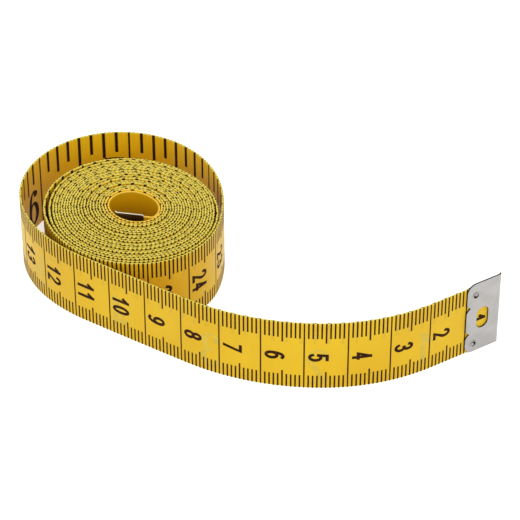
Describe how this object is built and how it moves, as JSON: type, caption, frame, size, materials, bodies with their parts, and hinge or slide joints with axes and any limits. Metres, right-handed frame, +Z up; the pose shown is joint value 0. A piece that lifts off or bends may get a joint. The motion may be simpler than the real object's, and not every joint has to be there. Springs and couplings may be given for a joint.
{
  "type": "cloth tape measure",
  "caption": "Flexible coated-cloth tape measure, rolled by hand and standing on edge, with a loose outer turn, a free tail and a folded metal clip on each end.",
  "frame": {"origin": "on the floor, under the middle of the plan of the whole object", "axes": "+Z up, along the tape's width; +X to the right along the tail, towards the outer clip; +Y away from the front, from the tail towards the roll's far side"},
  "size_m": [0.1131, 0.0748, 0.0197],
  "materials": {
    "tape": "smooth soft-coated woven tape, satin, yellow with printed scale in dark brown-black",
    "clip_steel": "satin nickel-grey sheet steel, pressed"
  },
  "bodies": {
    "roll": {"tape_roll": "tape"},
    "inner_end": {"tape_inner_end": "tape", "inner_end_clip": "clip_steel"},
    "outer_turn": {"tape_outer_turn": "tape"},
    "tail_root": {"tape_tail_root": "tape"},
    "tail_middle": {"tape_tail_middle": "tape"},
    "tail_tip": {"tape_tail_tip": "tape", "outer_end_clip": "clip_steel"}
  },
  "joints": [
    {"name": "inner_end_flex", "type": "hinge", "parent": "roll", "child": "inner_end", "pos_m": [-0.02521, 0.0028, 0], "axis": [0, 0, 1], "range_deg": [-35, 0], "stiffness_Nm_per_rad": 0.001},
    {"name": "outer_turn_open", "type": "hinge", "parent": "roll", "child": "outer_turn", "pos_m": [-0.00937, -0.00123, 0], "axis": [0, 0, 1], "range_deg": [0, 6], "stiffness_Nm_per_rad": 0.001},
    {"name": "tail_root_flex", "type": "hinge", "parent": "outer_turn", "child": "tail_root", "pos_m": [-0.02946, -0.01942, 0], "axis": [0, 0, 1], "range_deg": [-45, 15], "stiffness_Nm_per_rad": 0.001},
    {"name": "tail_middle_flex", "type": "hinge", "parent": "tail_root", "child": "tail_middle", "pos_m": [-0.00339, -0.03405, 0], "axis": [0, 0, 1], "range_deg": [-45, 30], "stiffness_Nm_per_rad": 0.001},
    {"name": "tail_tip_flex", "type": "hinge", "parent": "tail_middle", "child": "tail_tip", "pos_m": [0.0252, -0.03605, 0], "axis": [0, 0, 1], "range_deg": [-45, 45], "stiffness_Nm_per_rad": 0.001}
  ]
}
